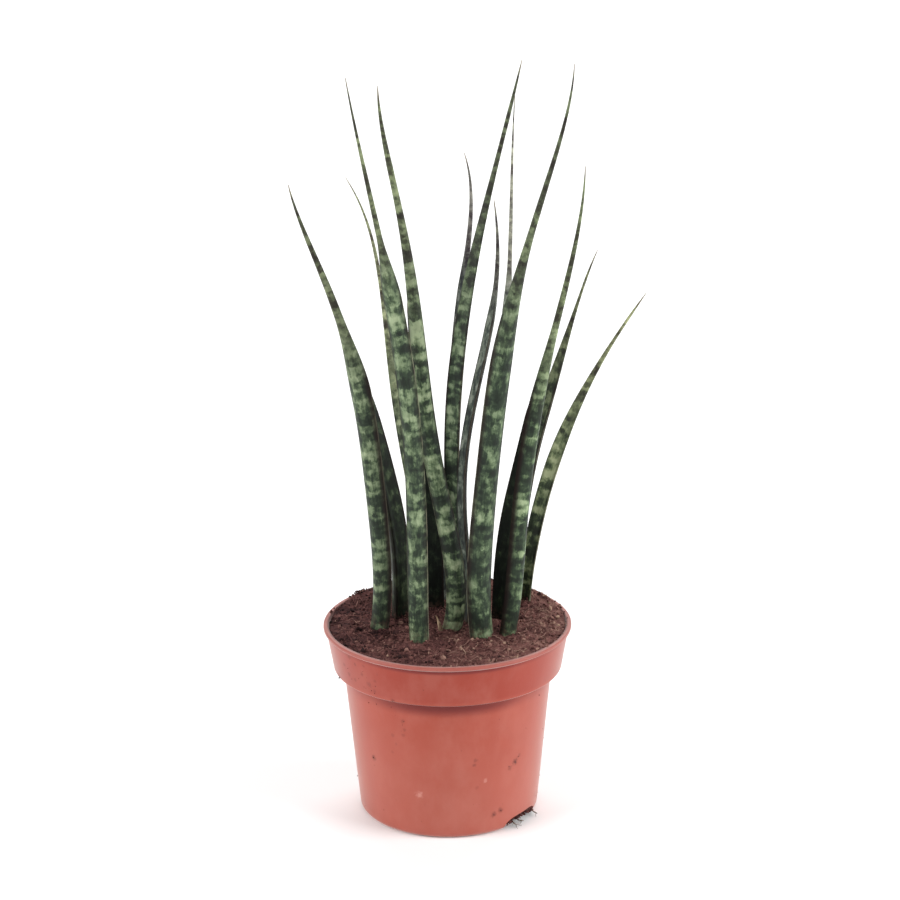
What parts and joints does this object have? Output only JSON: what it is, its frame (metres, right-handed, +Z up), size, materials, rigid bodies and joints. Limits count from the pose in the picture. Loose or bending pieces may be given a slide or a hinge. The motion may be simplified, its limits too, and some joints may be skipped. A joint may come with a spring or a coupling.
{
  "type": "potted snake plant",
  "caption": "Rush-leaved snake plant with mottled, channelled, spike-tipped leaves in a tapered round plastic nursery pot full of soil.",
  "frame": {"origin": "middle of the pot's underside, on the ground", "axes": "+Z up, -Y towards the front, +X to the right seen from the front"},
  "size_m": [0.1691, 0.1263, 0.3751],
  "materials": {
    "terracotta_plastic": "satin moulded polypropylene, terracotta colour",
    "soil": "damp fibrous peat mix, dark reddish brown",
    "leaf": "waxy dark green with light green mottling and cross bands",
    "dry_sheath": "dry, straw-coloured",
    "root": "dry fibrous root, brown"
  },
  "bodies": {
    "root": {"pot": "terracotta_plastic", "soil": "soil", "leaf_far_left": "leaf", "leaf_left_back": "leaf", "leaf_left_slim": "leaf", "leaf_left_front": "leaf", "leaf_left_inner": "leaf", "leaf_middle_front": "leaf", "leaf_middle_tall": "leaf", "leaf_middle_slim": "leaf", "leaf_middle_dark": "leaf", "leaf_back_spike": "leaf", "leaf_tall_front": "leaf", "leaf_right_inner": "leaf", "leaf_right_front": "leaf", "leaf_right_back": "leaf", "leaf_far_right": "leaf", "dry_sheath": "dry_sheath", "drain_root_left": "root", "drain_root_middle": "root", "drain_root_right": "root"}
  },
  "joints": []
}
